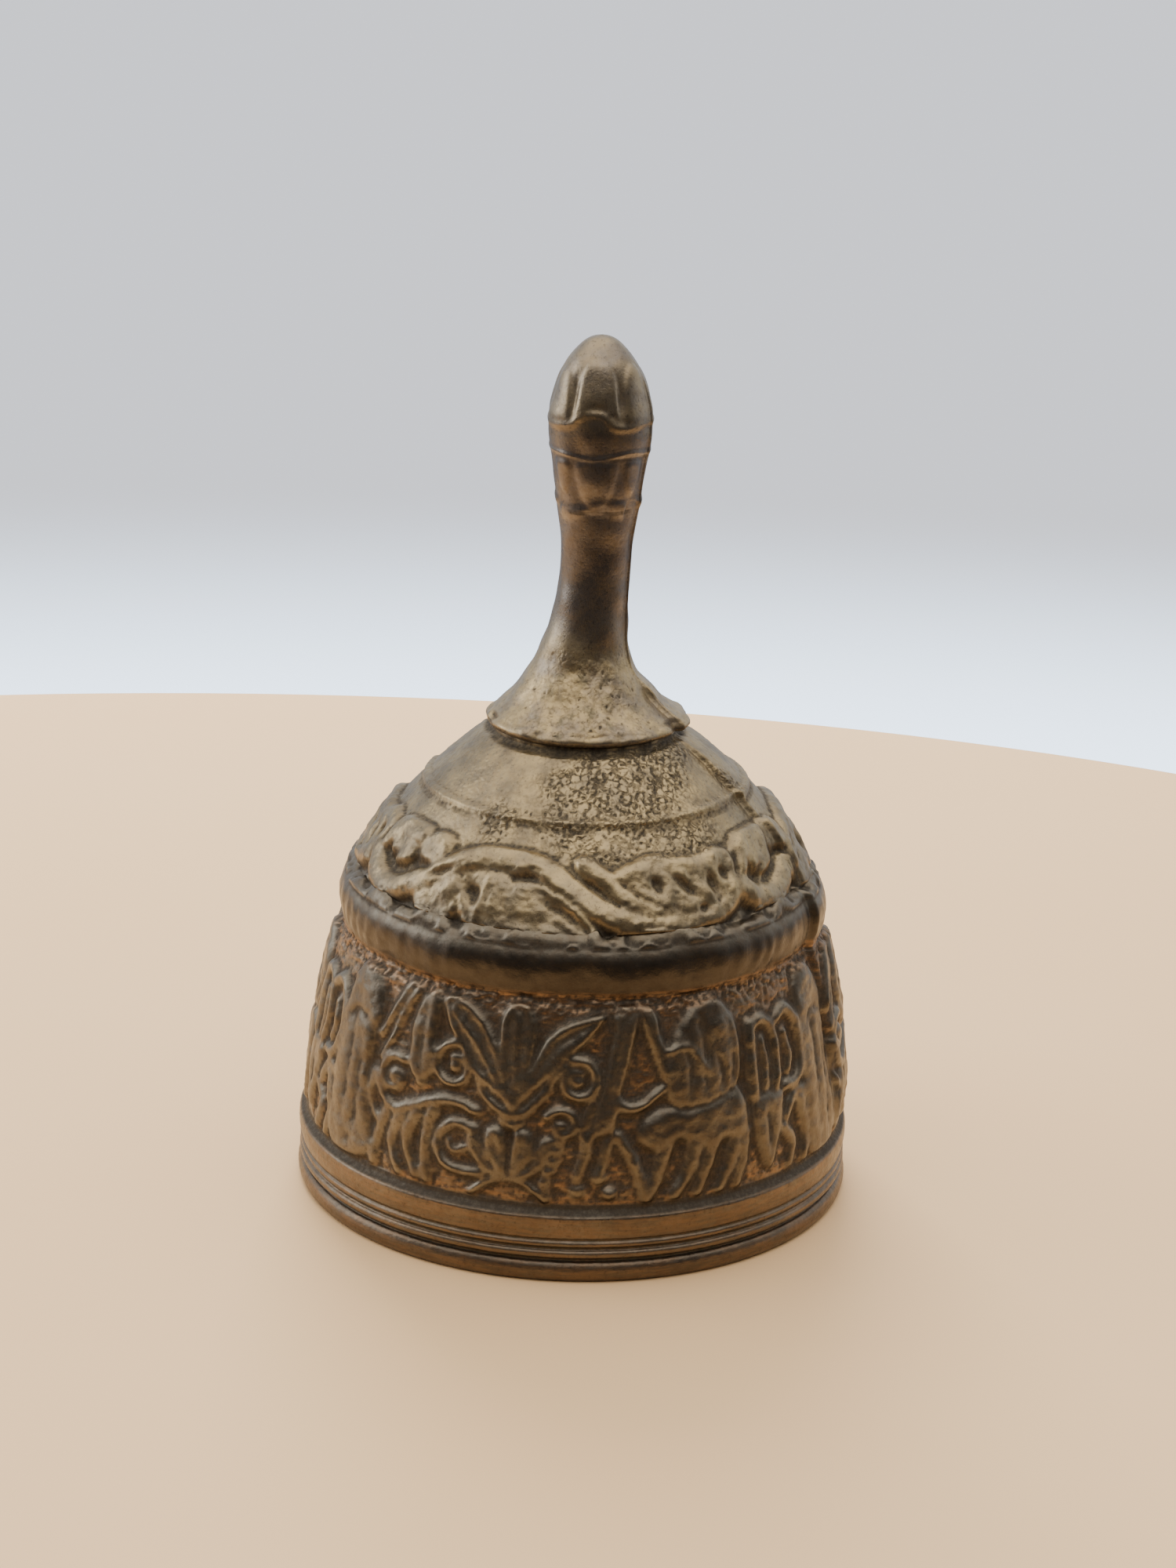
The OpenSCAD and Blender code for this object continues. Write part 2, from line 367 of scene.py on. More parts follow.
def seed_heads(c):
    """Knobs and little leaves between the stalk and the curved stem."""
    c.boss((1.3, 11), 1.0, 0.75)
    c.boss((5.6, 12.6), 1.0, 0.7)
    c.boss((7.8, 10.7), 0.9, 0.75)
    c.ridge([(3.2, 17.2), (2.6, 14.8), (1.2, 12.4)], 1.4, 0.75, 0.8)
    c.ridge([(7.4, 16.6), (6.6, 14.6), (5.6, 13)], 1.3, 0.7, 0.8)
    c.ridge([(9.4, 17.4), (12, 15), (14.3, 12.4), (15.4, 10)], 1.1, 0.85, 1.3)


def tent_wings(c):
    """Two long bars that meet at the top, and the crescent at their foot."""
    c.plaque([(10, 32.2), (14.2, 31.8), (12.4, 26.5), (9.8, 22), (8.8, 18.4), (4.4, 17.4), (5.4, 20.5),
              (7.2, 24.5), (8.8, 28.5)], 1.0, 0.95)
    c.plaque([(14.4, 31.9), (17.8, 31.4), (20, 27), (22, 23.6), (20, 22.6), (17.2, 26.8), (15.4, 29.4)],
             0.95, 0.8)
    c.groove([(11.8, 30.5), (10, 26), (7.6, 20.4)], 0.55, 0.35)
    c.ridge([(9, 21.4), (11.6, 20.5), (15.2, 20.9), (19.4, 22.6)], 1.5, 0.9, 0.8)


def winged_beast(c):
    """A worn four-legged beast with a raised wing."""
    c.plaque([(13.8, 17), (16, 19.4), (20, 20.2), (25, 19.8), (31, 20.4), (37, 21.2), (39.4, 18.8),
              (38.6, 15.4), (33, 15.6), (28, 15), (22.6, 16.6), (18.4, 15.2)], 1.0, 1.4)
    c.plaque([(21, 20.6), (20.4, 25.6), (22.6, 28.4), (26, 30.6), (30, 31.8), (34.4, 31.4), (38, 28.6),
              (38.8, 25), (37.2, 21.6), (30, 20.2)], 0.9, 1.2)
    c.boss((33.4, 28.6), 2.0, 1.15)
    for path in ([(24, 29), (25.6, 25), (25, 21)], [(28, 30.6), (29.6, 26), (28.8, 21)],
                 [(31.4, 26), (33.4, 23.6), (32.6, 20.8)], [(36.4, 26.4), (36.6, 23.6), (35.4, 21)]):
        c.groove(path, 0.7, 0.5)
    c.ridge([(20.6, 26.6), (24.6, 27), (28, 25.2), (30, 23.4)], 0.9, 1.1, 0.6)
    for path in ([(20, 16.8), (18.2, 13.2), (15.8, 10)], [(26.4, 16), (25, 13), (21.4, 9.9)],
                 [(30.4, 15.8), (28.4, 12.6), (26.4, 10)], [(36, 15.8), (34.4, 12.6), (31.6, 9.9)],
                 [(38.2, 15.8), (37.4, 12.6), (36, 10)]):
        c.ridge(path, 1.9, 0.95, 1.1, 0.7)


def arches(c):
    """Folded wings like two arches, with a wedge below them."""
    c.ridge([(41.8, 19.8), (42, 24), (42.4, 27.6)], 1.5, 0.95)
    c.ridge([(42.6, 27.4), (46, 28), (49.2, 26.2), (49.4, 22), (48.4, 19.8)], 1.2, 0.9)
    c.ridge([(50.6, 27.4), (54.4, 28.2), (57.8, 26.2), (58.2, 22), (55.8, 19.6), (51.8, 19.4)], 1.3, 0.95)
    c.ridge([(45.6, 25.6), (46, 22.8), (45.4, 20)], 1.1, 0.7)
    c.ridge([(53.2, 25.4), (54.2, 23), (53.2, 21)], 1.1, 0.7)
    c.plaque([(41, 18.8), (41.6, 14.6), (45, 10.4), (48.4, 14), (50.4, 18.8), (46, 19.4)], 0.85, 1.1)
    c.groove([(45, 18), (45.4, 15), (45, 12)], 0.7, 0.4)
    c.ridge([(51.6, 15.8), (54.6, 18.2), (58.6, 17.8)], 1.3, 0.75)
    c.ridge([(56.2, 17), (58, 13.4), (56.6, 9.9)], 1.7, 0.85, 1.0)
    c.ridge([(50.2, 14.6), (53, 12.6), (51.4, 10)], 1.3, 0.7)


FRIEZE = (draped_form, blades, lower_scroll, upper_volutes, palmette, blossom, hanging_strands, right_scroll,
          seed_heads, tent_wings, winged_beast, arches)


def vine(c):
    """The thick stem that winds round the shoulder, with its leaves."""
    stem = [(-72, 42.6), (-66, 40.8), (-58, 40.3), (-50, 41.5), (-42, 43.5), (-33, 45.4), (-22, 46.2),
            (-11, 45.6), (-2, 43.7), (7, 41.5), (17, 40.3), (28, 40.2), (38, 40.8), (45, 42.3), (51, 44.9),
            (57, 46.3), (66, 46.2)]
    c.ridge(stem, 3.0, 1.1)
    c.ridge([(1.6, 46.3), (7, 44.9), (13, 42.9), (19, 41.7), (26, 41)], 2.2, 1.0)
    c.boss((2.6, 46), 1.6, 1.05)
    c.plaque([(9, 45.2), (14, 46.3), (21, 47), (29, 46.6), (36, 46.4), (43, 46.8), (48.5, 46), (49, 43),
              (44, 41), (34, 40.6), (25, 41), (19, 42.2), (14, 43.8)], 0.95, 1.1)
    slots = ([(20.6, 45), (22.8, 43.2)], [(26.6, 45), (29.6, 43.8), (33.4, 42.4)],
             [(38, 44.6), (39.4, 42.2)], [(42.4, 45), (44, 43.4)], [(33, 41.6), (34.4, 41)])
    for slot in slots:
        c.groove(slot, 0.95, 0.75)
    c.groove([(50.6, 46.2), (48.6, 44), (46, 41.6)], 0.9, 0.8)
    c.plaque([(-25.6, 39.6), (-22, 42.2), (-17.4, 44.4), (-12, 45), (-6.4, 43.4), (-1.4, 41.4), (4, 39.2),
              (-6, 38.8), (-17, 38.9)], 0.9, 1.2)
    c.ridge([(-9, 43.6), (-3.4, 42.6), (1.4, 41), (4.6, 39.4)], 0.9, 1.15, 0.6)
    c.groove([(-10, 42.4), (-5, 41.8), (0, 40.2)], 0.7, 0.4)
    c.ridge([(-7, 40.9), (-3.4, 40.5), (-0.6, 39.7)], 0.6, 1.0, 0.4)
    c.plaque([(-28, 45), (-22, 45.2), (-18.6, 44.4), (-18, 42.6), (-21.6, 40.6), (-25.6, 39), (-30, 39.6),
              (-33.4, 42.4), (-32.4, 44.6)], 0.9, 1.1)
    c.groove([(-31, 43.4), (-28.4, 42.4), (-26.4, 41.2)], 1.7, 0.9)
    c.ridge([(-24.4, 44.4), (-25.6, 42.6), (-26.4, 40)], 1.1, 1.05, 0.8)
    c.plaque([(-33.6, 44.2), (-37.6, 43.4), (-43, 42), (-46.6, 40.4), (-42, 39.1), (-36, 38.9),
              (-31.8, 40.8)], 0.85, 1.0)
    c.plaque([(-51.4, 46.2), (-46.4, 47.4), (-41.6, 46.8), (-41, 44.9), (-46, 43.8), (-51, 44.2)], 0.85, 1.0)
    c.plaque([(-65, 45.6), (-60, 47.2), (-54, 46.6), (-53, 44.2), (-58, 43), (-63.6, 43.4)], 0.85, 1.0)
    c.groove([(-51, 44.4), (-47.6, 43.8), (-44.6, 44)], 0.8, 0.65)
    c.groove([(-64.4, 42.4), (-62, 43.2), (-59.4, 43.9)], 0.9, 0.65)
    c.groove([(-17.4, 44.6), (-13.6, 44.8), (-10.4, 44.4)], 0.7, 0.55)
    c.groove([(-43.4, 43), (-39.6, 43.8), (-36, 44.6)], 0.7, 0.55)


def repeated(chart, motifs):
    """The chart with the motifs in each repeat round the bell, and past its ends so that they join."""
    for k in range(-2, 3):
        chart.turn = k * REPEAT
        for motif in motifs:
            motif(chart)
    return chart


# ---------------- the shell

# Radius and height of the plain wall under the relief, from the mouth to the seat
GROUND = np.array([[33, 0], [32.6, 6], [32.1, 11], [31.15, 18.5], [30.05, 25], [28.9, 30], [28, 32.4],
                   [26.1, 39.3], [24.2, 43], [21.2, 47.3], [17.7, 51], [14.3, 54], [11.2, 56.5]])
DRAWN_TO_CAD = [MOUTH_R / DRAWN_R, SEAT_Z / DRAWN_SEAT_Z]


def outer_profile():
    """The shell's outline from the flat under the mouth up to the seat."""
    band = curve([[33.05, 5.42], [33.27, 6.7], [33.24, 7.9]], 5)
    ledge = [[33.08, 8.15], [32.75, 8.4], [32.42, 8.8], [32.3, 9.4]]
    rim = np.vstack([
        [[30.9, 0], [32.3, 0]], roll(32.6, 1.25, 0.8, 1.25),
        [[32.6, 2.72]], roll(32.78, 3.4, 0.45, 0.52, 7),
        [[32.78, 4.1]], roll(32.84, 4.66, 0.32, 0.4, 7),
        [[32.86, 5.25], [33.05, 5.42]], band, ledge])
    waist = curve([[27.95, 32.6], [28.15, 33.2], [28.45, 34.3], [28.6, 35.7], [28.45, 37], [28, 38.1],
                   [27.35, 38.9], [26.5, 39.2]], 5)
    seat_edge = [[10.85, 56.9], [10.6, DRAWN_SEAT_Z]]
    line = np.vstack([rim, curve(GROUND[2:7], 6), waist, curve(GROUND[7:13], 6), seat_edge])
    return line * DRAWN_TO_CAD


def shell_row_spacing(z):
    """Rows are closest on the fine mouldings and the pitted shoulder."""
    return np.select([z < 10, z < 32.5, z < 39, z < 47, z < 56.9], [0.16, 0.19, 0.21, 0.17, 0.16], 0.3)


def mismatch(points, angles, amount):
    """The two halves of the mould were out of line, so the rear half sits to one side of the front half."""
    rear = smooth(SEAM - 1, SEAM + 1, angles) + 1 - smooth(SEAM - 181, SEAM - 179, angles)
    side = np.radians(SEAM)
    points[..., 0] += rear * amount * math.sin(side)
    points[..., 1] -= rear * amount * math.cos(side)
    return points


def seam_line(angles, width):
    """1 on the mould's parting line and 0 away from it."""
    away = np.abs((angles - SEAM + 90) % 180 - 90)
    return hump(away, 0, width)


def turned(profile, angles, lift):
    """The surface of the profile turned about Z and raised by lift, square to the profile."""
    along = np.gradient(profile, axis=0)
    along /= np.linalg.norm(along, axis=1)[:, None] + 1e-9
    r = profile[:, :1] + lift * along[:, 1:]
    z = profile[:, 1:] - lift * along[:, :1]
    a = np.radians(angles)
    return np.stack([r * np.sin(a), -r * np.cos(a), z], -1).astype(np.float32)


def shell_surface(angles):
    """The outer surface of the shell, and a field from 0 to 1 over it for each of LOOKS."""
    line = outer_profile()
    profile = spread_rows(line, shell_row_spacing)
    z = profile[:, 1][:, None]
    plain = turned(profile, angles, np.zeros((len(profile), len(angles))))
    a = angles[None, :]

    def noise(size, seed):
        return ripples(plain, size, seed)

    # The drawn relief. A degree measures 0.525 mm on the frieze and 0.42 mm on the vine band.
    frieze = repeated(Chart(angles, profile[:, 1], (0.525, 1.0), 0.2), FRIEZE)
    vines = repeated(Chart(angles, profile[:, 1], (0.42, 1.17), 0.3), (vine,))
    relief = soften(0.9 * np.clip(frieze.height, -0.3, 1.2) * window(z, FRIEZE_FOOT, 31.6, 0.6), 3)
    relief += soften(np.clip(vines.height, -0.4, 1.3) * window(z, 39.2, 47.2, 0.5), 3)
    cuts = soften(0.5 * frieze.cut + vines.cut, 2)

    # The zones. front is the side that is pitted, rubbed and gilt the most, fixed to the casting; its extra
    # rub and gold are partly a painted highlight.
    ground = np.clip(1 - relief / 0.35, 0, 1)
    frieze_zone = window(z, FRIEZE_FOOT, 32.2, 0.5)
    vine_zone = window(z, 39.3, 47, 0.6)
    dome_zone = window(z, 46.8, 56.3, 0.5)
    waist_zone = window(z, 33, 38.8, 0.6)
    front = hump(a, FRONT_MIDDLE, FRONT_WIDTH)
    blotch = noise(9, 3)

    # The grain of the casting, on the ground and on the raised work
    lift = relief.copy()
    coarse = noise(0.95, 11)
    grain = noise(0.62, 12)
    lift += frieze_zone * ground * (0.03 * coarse + 0.015 * grain + 0.05 * noise(2.6, 13))
    lift += frieze_zone * (1 - ground) * (0.04 * noise(2.6, 14) + 0.012 * coarse)
    lift += vine_zone * (0.06 * noise(2.8, 15) + 0.018 * coarse)

    # The shoulder, with its pitted patches in front and behind and its thin ring
    pitted = dome_zone * smooth(0.2, 0.8, 0.95 * front + 0.2 * blotch + 0.3 * (np.abs(a) > 130))
    pits = smooth(0.4, 1.05, noise(0.8, 16) + 0.3 * (pitted - 1) + 0.3 * noise(5, 23)) * pitted
    lift += 0.02 * pitted - 0.13 * pits - 0.3 * smooth(55.7, 56.4, z) + dome_zone * 0.012 * grain
    lift += 0.36 * hump(z, RING_Z, 0.36)

    # The waist band, with worn lumps, a ragged upper edge and tears in the hollow below it
    lift += waist_zone * (0.06 * noise(6.5, 17) + 0.012 * noise(1.6, 18))
    from_middle = np.abs((a + REPEAT / 2) % REPEAT - REPEAT / 2)
    lumps = np.cos(np.radians(a * 70) + 1.2 * blotch) * smooth(22, 40, from_middle)
    lift += waist_zone * 0.045 * lumps * (1 - smooth(36.4, 38.6, z))
    ragged = window(z, 38.7, 39.7, 0.35) * smooth(-0.4, 1.0, noise(3.2, 19) + 1.1 * (39.1 - z))
    lift += ragged * 0.3
    torn = window(z, 31.2, 32.8, 0.4)
    tears = smooth(0.5, 1.4, noise(1.1, 25) + 0.4 * noise(0.6, 26)) * torn
    lift += torn * (0.025 * coarse + 0.015 * grain) - 0.08 * tears

    # Slow waves, the parting lines and the open gap beside the one on the right
    lift += 0.06 * noise(14, 20) * smooth(9, 12, z) + 0.01 * noise(0.5, 21) * (z < 9)
    lift += 0.06 * seam_line(a, 0.8) * smooth(9, 14, z) * (0.6 + 0.4 * noise(3, 22))
    lift -= 0.4 * window(a, 73.5, 74.5, 1) * window(z, 40.4, 43.4, 1)
    lift *= smooth(0.2, 1.5, z) * (1 - smooth(56.6, 57, z))

    # The finished surface, and what the material reads on it
    surface = turned(profile, angles, lift)
    surface = mismatch(surface, a, 0.95 * smooth(8, 14, z) * (1 - smooth(54, 57, z)))
    low = soften(lift, 14)
    # sunk and creases: darker in recesses and creases, partly dirt and partly painted shade.
    sunk = np.clip((low - lift) / 0.22, -1.2, 1.2)
    creases = smooth(0.3, 1, (soften(lift, 5) - lift) / 0.075)
    moulding_hollow = window(z, 2.55, 2.85, 0.15) + window(z, 4, 4.2, 0.1) + 0.7 * window(z, 5.1, 5.25, 0.1)
    ledge = window(z, 8.25, 9.2, 0.2)
    # under: the lower edges of the vine band's relief, darkened as a painted shadow under them.
    under = smooth(0.25, 0.8, np.gradient(soften(lift, 1), axis=0) / 0.17) * window(z, 39.5, 48, 0.5)
    rubbed = smooth(38.5, 41, z)
    # crevice: the dome just under the handle's lip, darkened as a painted shadow.
    crevice = window(z, 56.2, 57, 0.4) * smooth(-1.6, 0.4, noise(2.4, 27))
    # under_ring: the strip just under the ring, darkened as a painted shadow.
    under_ring = window(z, 49.35, 49.75, 0.15) * smooth(-1.2, 0.6, noise(3, 28))
    looks = {
        # hollow: dirt in the pits, grooves, cuts and tears, with painted shade in recesses and creases and
        # under the relief, the lip and the ring.
        "hollow": np.clip(smooth(0.05, 0.65, sunk) + 0.8 * pits + 0.6 * moulding_hollow + ledge
                          + 0.8 * cuts + 0.8 * tears + 0.75 * creases + 0.8 * under
                          + crevice + 0.6 * under_ring, 0, 1),
        # worn: real rub on the high places; the front term is partly a painted highlight.
        "worn": np.clip(smooth(0.4, 1.2, -sunk) * (0.5 + 0.5 * rubbed)
                        + rubbed * (0.3 * relief + 0.45 * front), 0, 1),
        # warm: partly a copper-brown patina and partly a painted reflection of the warm table, on the
        # frieze's ground, the fillet under the waist and the rim.
        "warm": np.clip(0.8 * frieze_zone * ground + 0.7 * window(z, 31.4, 33, 0.6)
                        + 0.4 * (z < RIM_TOP), 0, 1),
        "green": np.clip(moulding_hollow + 0.35 * frieze_zone * ground * smooth(0.4, 1.4, blotch), 0, 1),
        # gold: a gold tone up the shoulder, lifted at the front partly as a painted highlight.
        "gold": np.clip(smooth(38.5, 42, z) * (0.55 + 0.65 * front), 0, 1),
        "pitted": pitted,
        # dark: painted shade on the waist band and the rim, standing in for their dark reflection of the
        # room in front.
        "dark": np.clip(0.75 * window(z, 32.6, 36.8, 1.3) + 0.3 * (z < 2.6)
                        + 0.1 * (z < RIM_TOP), 0, 1),
    }
    return surface, looks


def inner_profile():
    """The wall's inside, from the crown down to the mouth."""
    free = curve(inset(GROUND * DRAWN_TO_CAD, WALL), 5)
    crown = SEAT_Z - CROWN_T
    wall = free[(free[:, 1] > 1.2) & (free[:, 1] < crown - 0.4)][::-1]
    hole = [[10, SEAT_Z], [2.6, SEAT_Z], [2.18, SEAT_Z - 0.3], [2.15, SEAT_Z - 1], [2.15, crown + 0.4],
            [2.4, crown]]
    return np.vstack([hole, [[6, crown], [wall[0, 0] - 0.9, crown]], wall, [[30.5, 0.4]]])


def smooth_object(name, vertices, faces):
    """An object of quads with smooth shading, from vertices in millimetres."""
    mesh = bpy.data.meshes.new(name)
    mesh.vertices.add(len(vertices))
    mesh.vertices.foreach_set("co", (np.asarray(vertices, np.float64) * MM).ravel())
    mesh.loops.add(faces.size)
    mesh.loops.foreach_set("vertex_index", faces.ravel().astype(np.int32))
    mesh.polygons.add(len(faces))
    mesh.polygons.foreach_set("loop_start", np.arange(0, faces.size, faces.shape[1], dtype=np.int32))
    mesh.update(calc_edges=True)
    mesh.validate()
    mesh.polygons.foreach_set("use_smooth", np.ones(len(faces), bool))
    obj = bpy.data.objects.new(name, mesh)
    bpy.context.scene.collection.objects.link(obj)
    return obj


def ring_faces(rows, columns, closed):
    """Quads of a grid that joins round in its columns, and in its rows too if closed."""
    i = np.arange(rows if closed else rows - 1)[:, None]
    j = np.arange(columns)[None, :]
    up = (i + 1) % rows
    right = (j + 1) % columns
    corners = [i * columns + j, i * columns + right, up * columns + right, up * columns + j]
    return np.stack(corners, -1).reshape(-1, 4)


def note(obj, name, values):
    """Stores one number per vertex for the material to read."""
    layer = obj.data.attributes.new(name, "FLOAT", "POINT")
    layer.data.foreach_set("value", np.asarray(values, np.float32).ravel())


def build_shell():
    """The whole casting, closed from the mouth over the outside, through the hole and down the inside."""
    angles = np.arange(COLUMNS) * 360 / COLUMNS - 180
    surface, looks = shell_surface(angles)
    inside = spread_rows(inner_profile(), lambda z: 0.75 + 0 * z)
    plain = turned(inside, angles, np.zeros((len(inside), COLUMNS)))
    wall = window(inside[:, 1], 3, SEAT_Z - CROWN_T - 2, 1)[:, None]
    waves = 0.05 * ripples(plain, 3.5, 31) + 0.04 * ripples(plain, 1.6, 32)
    inner = turned(inside, angles, wall * waves)
    grid = np.concatenate([surface, inner])
    faces = ring_faces(len(grid), COLUMNS, True)
    shell = smooth_object("bell_shell_cast", grid.reshape(-1, 3), faces)
    for name, field in looks.items():
        outside = np.broadcast_to(field, surface.shape[:2])
        filled = {"hollow": 0.55, "green": 0.3}.get(name, 0.0)
        note(shell, name, np.concatenate([outside, np.full((len(inner), COLUMNS), filled)]))
    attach(shell, "bell")
    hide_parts("bell_shell")
    return shell


# ---------------- the handle

def handle_profile():
    """The handle's outline from its seat to its tip. Its points are a radius and a share of the height."""
    seat, tall = SEAT_Z, TIP_Z - SEAT_Z
    lip = (HANDLE_HIGH[0] - HANDLE_LOW[0]) / 2
    a = np.radians(np.linspace(-90, 54, 9))
    rounded = np.column_stack([lip - 0.55 + 0.55 * np.cos(a), seat + 0.55 + 0.55 * np.sin(a)])
    body = curve([(11.2, 0.024), (10.2, 0.04), (8.4, 0.074), (6.9, 0.118), (5.55, 0.17), (4.7, 0.235),
                  (4.22, 0.31), (4.0, 0.39), (4.1, 0.46), (4.42, 0.53), (4.66, 0.565)], 6)
    lower_tier = curve([(4.76, 0.577), (5.0, 0.62), (5.34, 0.67), (5.58, 0.708)], 5)
    knob = curve([(5.66, 0.722), (5.86, 0.765), (5.82, 0.8), (5.6, 0.826), (4.9, 0.886), (4, 0.935),
                  (2.5, 0.975), (1.3, 0.994), (0.04, 1.0)], 6)
    shares = np.vstack([body, lower_tier, knob])
    shares[:, 1] = seat + tall * shares[:, 1]
    return np.vstack([[[2.2, seat], [8, seat]], rounded, shares])


def handle_relief(angles, heights):
    """The worn hood on the knob and the shallow shields under its belt, in front and behind."""
    c = Chart(angles, heights, (0.098, 1.0))
    for turn in (-360, -180, 0, 180, 360):
        c.turn = turn
        c.plaque([(-31, 94.2), (-32, 96.8), (-27, 99.4), (-16, 100.8), (8, 100.8), (19, 99.4), (24, 96.8),
                  (23, 94.4), (10, 95.2), (-4, 95.5), (-18, 95.1)], 0.26, 1.3)
        c.plaque([(-82, 93.6), (-82, 97), (-72, 99.4), (-50, 99.2), (-38, 96.6), (-36, 94), (-58, 93.4)],
                 0.26, 1.3)
        c.plaque([(31, 93.8), (30, 96.8), (42, 99.6), (66, 100), (82, 97), (84, 94.4), (58, 93.4)],
                 0.26, 1.3)
        c.ridge([(-20, 95), (-16, 96.6), (-4, 97.3), (8, 96.6), (12, 95)], 0.8, 0.28)
        c.ridge([(-90, 93.5), (-62, 93.2), (-36, 93.5), (-27, 94.2), (-14, 94.8), (2, 94.8), (11, 94.2),
                 (18, 93.4), (40, 93.3), (62, 93.6), (90, 93.5)], 0.9, 0.22)
        c.groove([(-36, 99), (-33.5, 96.6), (-34, 94.4)], 0.8, 0.3)
        c.groove([(25, 98.6), (27, 96.4), (26.5, 94.4)], 0.8, 0.3)
        c.plaque([(-28, 89), (-26, 86), (-18, 84.4), (-3, 83.6), (12, 84.4), (20, 86), (23, 89),
                  (-3, 89.4)], 0.16, 0.9)
        c.plaque([(-62, 88.8), (-58, 86.4), (-47, 85.4), (-38, 86.6), (-36, 88.8), (-47, 89.4)], 0.2, 0.7)
        c.plaque([(34, 88.8), (38, 86), (49, 85), (60, 86.4), (64, 88.8), (50, 89.4)], 0.2, 0.7)
    return soften(c.height, 7)


def handle_lean(z):
    """How far the handle's middle line strays to the right."""
    return -0.35 * window(z, 59, 66, 4) + 0.85 * smooth(64, 80, z)


def build_handle():
    """The handle, closed over its tip and through the hole for the bolt."""
    angles = np.arange(HANDLE_COLUMNS) * 360 / HANDLE_COLUMNS - 180
    outer = spread_rows(handle_profile(), lambda z: np.where(z > 82, 0.13, 0.17))
    hole = np.array([[0.04, SEAT_Z + 15], [1.95, SEAT_Z + 13.5], [1.95, SEAT_Z + 0.3], [2.2, SEAT_Z]])
    z = outer[:, 1][:, None]
    plain = turned(outer, angles, np.zeros((len(outer), HANDLE_COLUMNS)))
    a = angles[None, :]

    # The relief, the rough collar, slow waves, the parting lines and the two worn lines
    relief = handle_relief(angles, outer[:, 1]) * (1 - smooth(100, 101.5, z)) * window(z, 83, 103, 0.2)
    collar = smooth(57.3, 58.4, z) * (1 - smooth(64.5, 68, z))
    front = hump(a, 0, 62)
    rough = collar * (0.15 + 0.85 * front)
    pits = smooth(1.7, 2.5, ripples(plain, 0.9, 41)) * rough
    lift = relief + rough * (0.02 * ripples(plain, 1.7, 42) + 0.01 * ripples(plain, 0.7, 43)) - 0.1 * pits
    lift += 0.06 * rough * ripples(plain, 5, 44) * smooth(58.5, 60, z)
    lift += 0.045 * ripples(plain, 4.5, 45) * smooth(58, 60, z) * (1 - smooth(99, 102, z))
    lift += 0.13 * ripples(plain, 3.6, 46) * window(z, 57.2, 58.2, 0.4)
    lift += 0.12 * seam_line(a, 3) * smooth(58, 60, z) * (1 - smooth(98, 101, z))
    wander = 0.25 * ripples(plain, 7, 49)
    broken = smooth(-0.8, 0.4, ripples(plain, 3.5, 50))
    lift += 0.1 * hump(z - wander, BELT_Z, 0.3)
    lift += 0.16 * hump(z - 2 * wander, LOWER_BELT_Z, 0.5) * broken
    lift *= smooth(57.05, 57.5, z)

    # The finished surface, with the mould's halves out of line, and what the material reads on it
    surface = turned(outer, angles, lift)
    offset = 0.95 * window(z, 57.6, 61, 2.2) + 0.22 * smooth(60, 66, z) * (1 - smooth(96, 101, z))
    surface = mismatch(surface, a, offset)
    surface[..., 0] += handle_lean(surface[..., 2]) * smooth(58, 60, surface[..., 2])
    bore = turned(hole, angles, np.zeros((len(hole), HANDLE_COLUMNS)))
    grid = np.concatenate([bore, surface])
    faces = ring_faces(len(grid), HANDLE_COLUMNS, True)
    handle = smooth_object("handle_cast", grid.reshape(-1, 3), faces)
    low = soften(lift, 10)
    sunk = np.clip((low - lift) / 0.2, -1.2, 1.2)
    # under: the lower edges of the handle's relief, darkened as a painted shadow under them.
    under = smooth(0.12, 0.4, np.gradient(soften(lift, 1), axis=0) / 0.14)
    # steps: thin dark strips just under the two worn lines round the handle, a painted shadow.
    steps = window(z, 82.9, 83.3, 0.15) + window(z, 89.3, 89.6, 0.15)
    steps = steps * smooth(-1, 0.8, ripples(plain, 3, 48))
    looks = {
        # hollow: dirt in the pits and recesses, with painted shade under the relief, the belts and the lip's
        # underside.
        "hollow": np.clip(np.maximum(sunk, 0) + pits + 0.6 * under + 0.7 * steps
                          + 0.95 * (1 - smooth(57.35, 57.75, z)), 0, 1),
        # worn: real rub on the high places; between 77 and 90 mm it is lowered as painted shade over the
        # table's reflection.
        "worn": np.clip(0.55 - 0.25 * collar - 0.4 * window(z, 77, 90, 3)
                        + 0.7 * np.maximum(-sunk, 0) + 0.4 * relief, 0, 1),
        "warm": 0.0,
        "green": np.clip(0.5 * rough * smooth(0.2, 1.3, ripples(plain, 2.2, 47)), 0, 1),
        "gold": 0.1 + 0.9 * (1 - smooth(63, 72, z)) + 0.4 * smooth(89, 95, z),
        "pitted": 0.35 * rough,
        # dark: painted shade on the handle between 76 and 88 mm.
        "dark": 0.15 * window(z, 76, 88, 3),
    }
    for name, field in looks.items():
        outside = np.broadcast_to(field, surface.shape[:2])
        note(handle, name, np.concatenate([np.full((len(bore), HANDLE_COLUMNS), 0.4), outside]))
    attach(handle, "bell")
    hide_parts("handle")
    return handle


# ---------------- materials

OXIDE = (0.13, 0.095, 0.065)
GILT_AND_HIGHLIGHT = (0.46, 0.345, 0.18)
# the colour of the painted shade on the dark bands
PAINTED_SHADE_BROWN = (0.05, 0.042, 0.036)
RED_BROWN = (0.28, 0.17, 0.095)
RUBBED_BRASS_AND_HIGHLIGHT = (0.33, 0.27, 0.18)
VERDIGRIS = (0.1, 0.1, 0.07)
